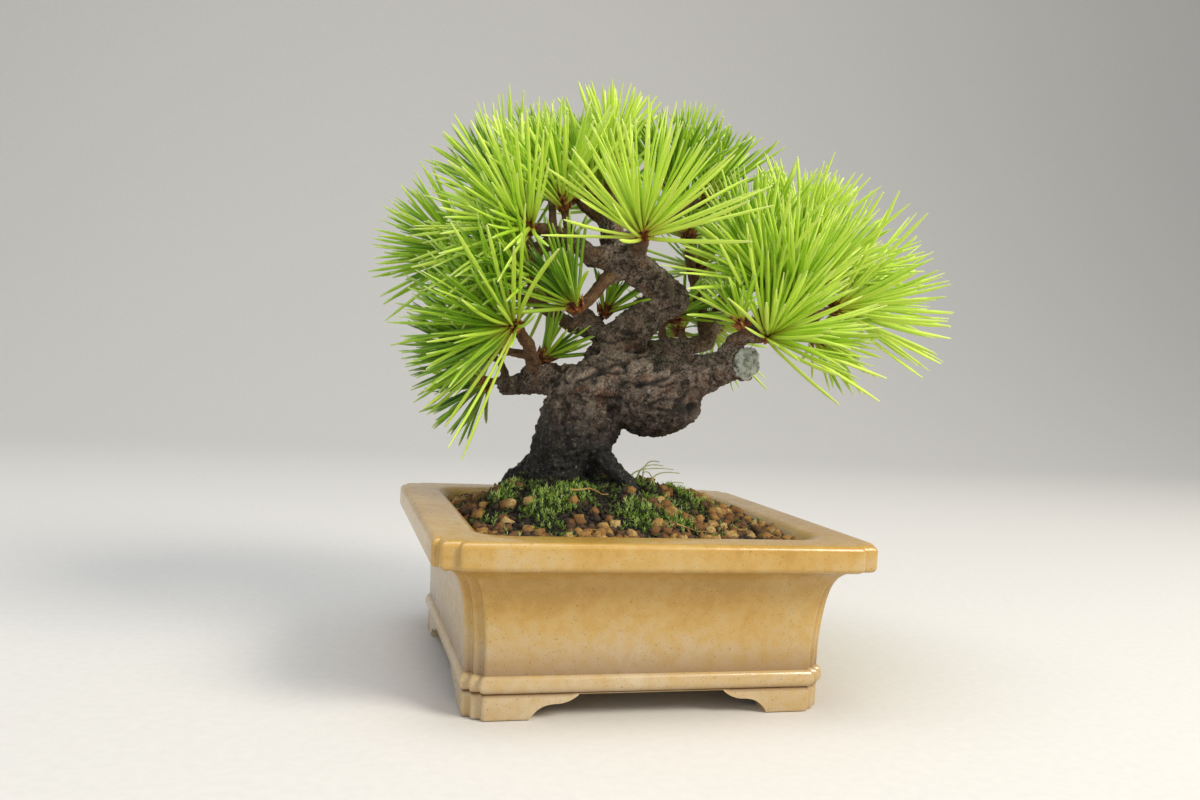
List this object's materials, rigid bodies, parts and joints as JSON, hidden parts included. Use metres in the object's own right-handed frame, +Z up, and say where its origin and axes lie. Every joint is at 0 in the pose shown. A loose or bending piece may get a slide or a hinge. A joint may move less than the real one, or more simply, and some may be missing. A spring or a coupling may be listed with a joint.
{
  "type": "bonsai tree in a pot",
  "caption": "Small pine bonsai with a swollen trunk and dense needle tufts, rooted in a mossy soil mound in a square glazed pot with stepped corners and bracket feet.",
  "frame": {"origin": "middle of the whole plant's outline seen from above, on the plane the pot's feet stand on", "axes": "+Z up; +Y from the front, where the sealed stub faces, to the back; +X to the right"},
  "size_m": [0.1794, 0.1304, 0.1774],
  "materials": {
    "glaze": "gloss",
    "bark": "rough",
    "needles": "satin",
    "wound_putty": "matte",
    "clay_grains": "rough",
    "gravel": "rough",
    "moss": "rough",
    "plastic_mesh": "matte",
    "wire": "satin"
  },
  "bodies": {
    "root": {"cut_seal": "wound_putty", "drainage_layer": "gravel", "drainage_screen": "plastic_mesh", "moss_back_left": "moss", "moss_back_right": "moss", "moss_front_left": "moss", "moss_front_middle": "moss", "moss_left": "moss", "moss_right": "moss", "pot": "glaze", "screen_clip": "wire", "soil_mound": "clay_grains", "trunk_and_branches": "bark", "tuft_apex": "needles", "tuft_back_far": "needles", "tuft_back_left": "needles", "tuft_back_low": "needles", "tuft_back_right_out": "needles", "tuft_back_right_top": "needles", "tuft_crown_front": "needles", "tuft_inner_left": "needles", "tuft_inner_mid": "needles", "tuft_inner_right": "needles", "tuft_left_back": "needles", "tuft_left_back_top": "needles", "tuft_left_edge": "needles", "tuft_left_inner": "needles", "tuft_left_low_back": "needles", "tuft_left_low_far": "needles", "tuft_left_low_front": "needles", "tuft_left_low_mid": "needles", "tuft_left_top_front": "needles", "tuft_right_back": "needles", "tuft_right_back_top": "needles", "tuft_right_cross": "needles", "tuft_right_far": "needles", "tuft_right_front": "needles", "tuft_right_low": "needles", "tuft_right_mid": "needles", "tuft_right_small": "needles", "tuft_right_top": "needles", "tuft_right_top_left": "needles", "tuft_right_up": "needles", "tuft_top_back": "needles", "tuft_top_back_left": "needles", "tuft_top_left_back": "needles", "tuft_top_left_mid": "needles", "tuft_top_left_up": "needles", "tuft_top_mid": "needles", "tuft_top_right": "needles", "tuft_top_right_mid": "needles", "tuft_v_end": "needles", "tuft_v_fan": "needles"}
  },
  "joints": []
}
